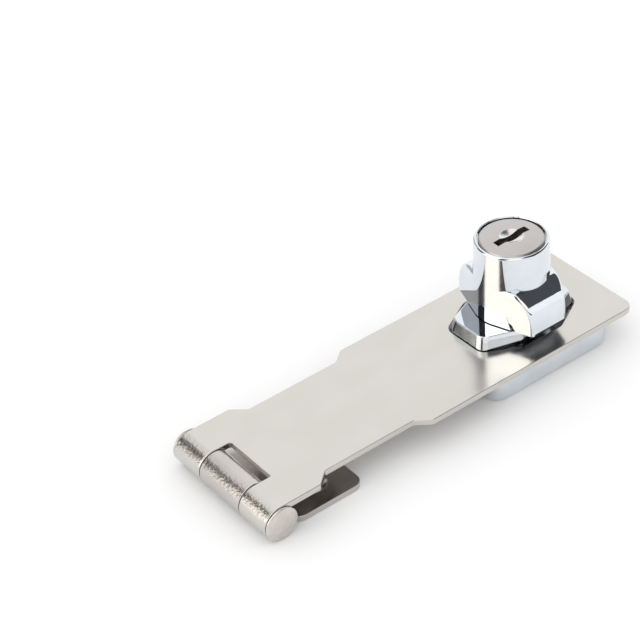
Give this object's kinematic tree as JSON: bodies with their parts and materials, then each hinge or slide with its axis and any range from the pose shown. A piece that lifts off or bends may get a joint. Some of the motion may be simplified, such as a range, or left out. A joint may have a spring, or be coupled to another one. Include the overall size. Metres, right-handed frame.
{
  "type": "keyed hasp lock",
  "caption": "Hinged steel hasp strap over a cast lock base, held down by a winged key-locking turn knob standing across the strap.",
  "frame": {"origin": "on the turn knob's axis, on the surface the lock base is screwed to", "axes": "+Z away from the mounting surface along the knob's axis, +X along the strap from the hinge towards its free end, +Y across the strap"},
  "size_m": [0.1148, 0.038, 0.0328],
  "materials": {
    "satin_nickel_sheet": "satin nickel plate",
    "satin_nickel_leaf": "satin nickel plate",
    "bright_nickel_pin": "bright nickel plate",
    "chromed_base": "bright chrome plate on zinc casting",
    "chromed_knob": "bright chrome plate on zinc casting",
    "brushed_face": "brushed stainless cap",
    "brass_plug": "machined",
    "brass_wafers": "stamped",
    "spring_steel": "drawn wire",
    "steel_pin": "ground",
    "steel_bolt": "zinc plated",
    "zinc_steel": "zinc plated"
  },
  "bodies": {
    "base": {"lock_base": "chromed_base", "stop_pin": "steel_pin"},
    "strap": {"hasp_strap": "satin_nickel_sheet", "hinge_pin": "bright_nickel_pin"},
    "leaf": {"mounting_leaf": "satin_nickel_leaf"},
    "knob": {"knob": "chromed_knob", "retaining_washer": "zinc_steel", "wave_washer": "spring_steel", "spindle_screw": "zinc_steel"},
    "plug": {"key_plug": "brass_plug", "plug_face": "brushed_face", "plug_retainer": "brass_wafers", "wafer_spring_1": "spring_steel", "wafer_spring_2": "spring_steel", "wafer_spring_3": "spring_steel", "wafer_spring_4": "spring_steel", "wafer_spring_5": "spring_steel"},
    "bolt": {"lock_bolt": "steel_bolt"},
    "wafer_1": {"wafer_1": "brass_wafers"},
    "wafer_2": {"wafer_2": "brass_wafers"},
    "wafer_3": {"wafer_3": "brass_wafers"},
    "wafer_4": {"wafer_4": "brass_wafers"},
    "wafer_5": {"wafer_5": "brass_wafers"}
  },
  "joints": [
    {"name": "strap_lift", "type": "slide", "parent": "base", "child": "strap", "axis": [0, 0, 1], "range_m": [0, 0.0032]},
    {"name": "leaf_swing", "type": "hinge", "parent": "strap", "child": "leaf", "pos_m": [-0.0855, 0, 0.00445], "axis": [0, 1, 0], "range_deg": [0, 270]},
    {"name": "knob_turn", "type": "hinge", "parent": "base", "child": "knob", "pos_m": [0, 0, 0.0122], "axis": [0, 0, 1], "range_deg": [0, 90]},
    {"name": "plug_turn", "type": "hinge", "parent": "knob", "child": "plug", "pos_m": [0, 0, 0.024], "axis": [0, 0, 1], "range_deg": [0, 90]},
    {"name": "bolt_slide", "type": "slide", "parent": "knob", "child": "bolt", "axis": [1, 0, 0], "range_m": [0, 0.00213]},
    {"name": "wafer_1_slide", "type": "slide", "parent": "plug", "child": "wafer_1", "axis": [-1, 0, 0], "range_m": [0, 0.0006], "stiffness_N_per_m": 30},
    {"name": "wafer_2_slide", "type": "slide", "parent": "plug", "child": "wafer_2", "axis": [-1, 0, 0], "range_m": [0, 0.0006], "stiffness_N_per_m": 30},
    {"name": "wafer_3_slide", "type": "slide", "parent": "plug", "child": "wafer_3", "axis": [-1, 0, 0], "range_m": [0, 0.0006], "stiffness_N_per_m": 30},
    {"name": "wafer_4_slide", "type": "slide", "parent": "plug", "child": "wafer_4", "axis": [-1, 0, 0], "range_m": [0, 0.0006], "stiffness_N_per_m": 30},
    {"name": "wafer_5_slide", "type": "slide", "parent": "plug", "child": "wafer_5", "axis": [-1, 0, 0], "range_m": [0, 0.0006], "stiffness_N_per_m": 30}
  ],
  "couplings": [
    {"joint": "bolt_slide", "follows": "plug_turn", "m_per_rad": 0.0013505}
  ]
}
